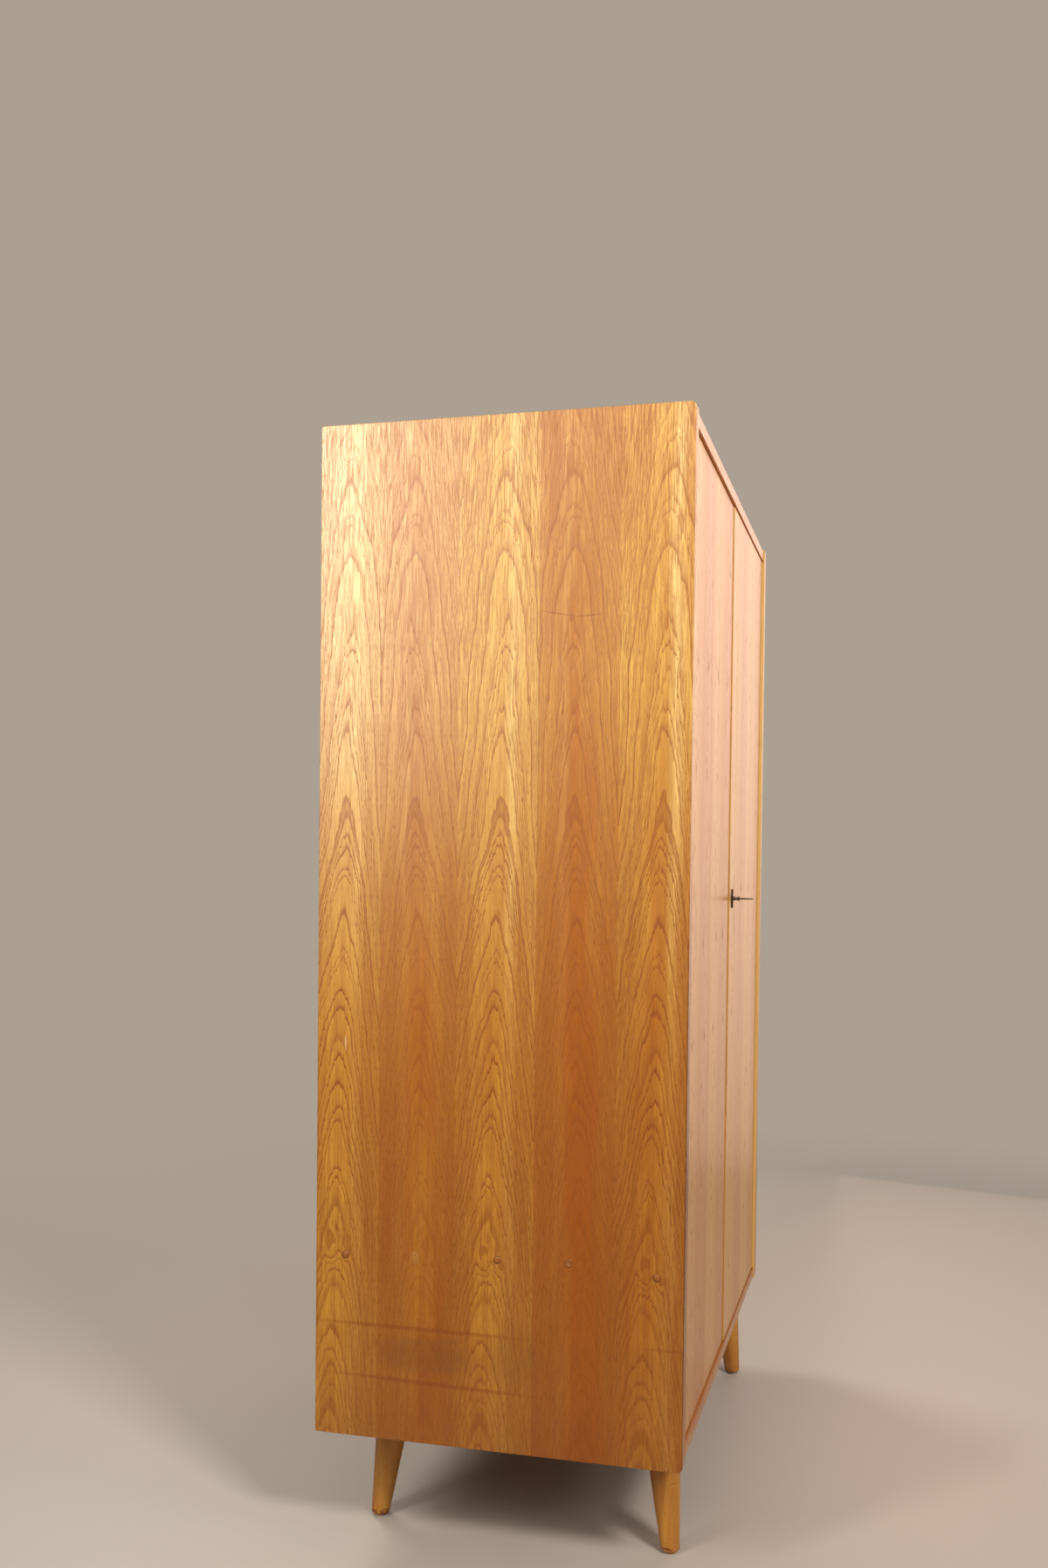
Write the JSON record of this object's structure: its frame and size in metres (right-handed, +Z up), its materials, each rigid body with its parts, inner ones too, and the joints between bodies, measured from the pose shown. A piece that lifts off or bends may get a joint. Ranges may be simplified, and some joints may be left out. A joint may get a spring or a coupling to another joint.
{
  "type": "wardrobe",
  "caption": "Oak-veneered wardrobe with flush inset doors on pivot hinges, a key lock, inside shelves and hanging rail, on tapered splayed legs.",
  "frame": {"origin": "on the floor under the middle of the overall box, from the key's tip to the screws in the back", "axes": "+X along the width, to the right as seen from the front; the doors face -Y; +Z is up"},
  "size_m": [1.1, 0.6384, 1.8],
  "materials": {
    "side_veneer": "oak veneer, satin lacquer",
    "case_veneer": "oak veneer, satin lacquer",
    "door_veneer": "oak veneer, satin lacquer",
    "back_plywood": "raw plywood",
    "inner_board": "pale veneer, matt lacquer",
    "beech": "beech, matt lacquer",
    "dowel_wood": "end grain under lacquer",
    "leg_wood": "solid wood, lacquered",
    "glide": "worn pale nylon",
    "brass": "dull brass",
    "nickel_steel": "nickel plated",
    "lock_steel": "plain steel",
    "screw_steel": "plain steel",
    "black_iron": "blackened, worn",
    "felt": "wool felt"
  },
  "bodies": {
    "carcass": {"side_panel_left": "side_veneer", "side_panel_right": "side_veneer", "top_panel": "case_veneer", "bottom_panel": "case_veneer", "back_panel": "back_plywood", "partition": "inner_board", "shoe_shelf": "inner_board", "lower_linen_shelf": "inner_board", "hat_shelf": "inner_board", "linen_shelf_1": "inner_board", "linen_shelf_2": "inner_board", "linen_shelf_3": "inner_board", "hat_shelf_cleats": "beech", "door_stops": "beech", "hanging_rail": "beech", "shelf_dowels": "dowel_wood", "front_left_leg": "leg_wood", "front_right_leg": "leg_wood", "back_left_leg": "leg_wood", "back_right_leg": "leg_wood", "leg_glides": "glide", "left_door_upper_socket": "brass", "left_door_lower_socket": "brass", "right_door_upper_socket": "brass", "right_door_lower_socket": "brass", "pivot_washers": "brass", "shelf_pins": "brass", "bolt_keepers": "brass", "rail_sockets": "nickel_steel", "leg_plates": "lock_steel", "leg_studs": "lock_steel", "back_panel_screws": "screw_steel", "rail_socket_screws": "screw_steel", "leg_plate_screws": "screw_steel", "socket_screws": "screw_steel", "keeper_screws": "screw_steel", "door_buffers": "felt"},
    "left_door": {"left_door": "door_veneer", "left_door_upper_pivot": "brass", "left_door_lower_pivot": "brass", "left_door_pivot_screws": "screw_steel", "strike_plate": "brass", "strike_screws": "screw_steel", "upper_bolt_plate": "nickel_steel", "lower_bolt_plate": "nickel_steel", "slide_bolt_screws": "screw_steel"},
    "right_door": {"right_door": "door_veneer", "right_door_upper_pivot": "brass", "right_door_lower_pivot": "brass", "right_door_pivot_screws": "screw_steel", "lock_case": "lock_steel", "lock_cap": "lock_steel", "lock_screws": "screw_steel", "escutcheon": "black_iron", "escutcheon_pins": "black_iron"},
    "key": {"key": "black_iron"},
    "lock_bolt": {"lock_bolt": "lock_steel"},
    "upper_slide_bolt": {"upper_slide_bolt": "nickel_steel"},
    "lower_slide_bolt": {"lower_slide_bolt": "nickel_steel"}
  },
  "joints": [
    {"name": "left_door_hinge", "type": "hinge", "parent": "carcass", "child": "left_door", "pos_m": [-0.512, -0.27025, 0.99], "axis": [0, 0, -1], "range_deg": [0, 105]},
    {"name": "right_door_hinge", "type": "hinge", "parent": "carcass", "child": "right_door", "pos_m": [0.512, -0.27225, 0.99], "axis": [0, 0, 1], "range_deg": [0, 105]},
    {"name": "key_turn", "type": "hinge", "parent": "right_door", "child": "key", "pos_m": [0.035, -0.27825, 1.042], "axis": [0, 1, 0], "range_deg": [0, 90]},
    {"name": "lock_bolt_slide", "type": "slide", "parent": "right_door", "child": "lock_bolt", "axis": [-1, 0, 0], "range_m": [0, 0.007]},
    {"name": "upper_bolt_slide", "type": "slide", "parent": "left_door", "child": "upper_slide_bolt", "axis": [0, 0, 1], "range_m": [0, 0.014]},
    {"name": "lower_bolt_slide", "type": "slide", "parent": "left_door", "child": "lower_slide_bolt", "axis": [0, 0, -1], "range_m": [0, 0.014]}
  ],
  "couplings": [
    {"joint": "lock_bolt_slide", "follows": "key_turn", "m_per_rad": 0.004456}
  ]
}
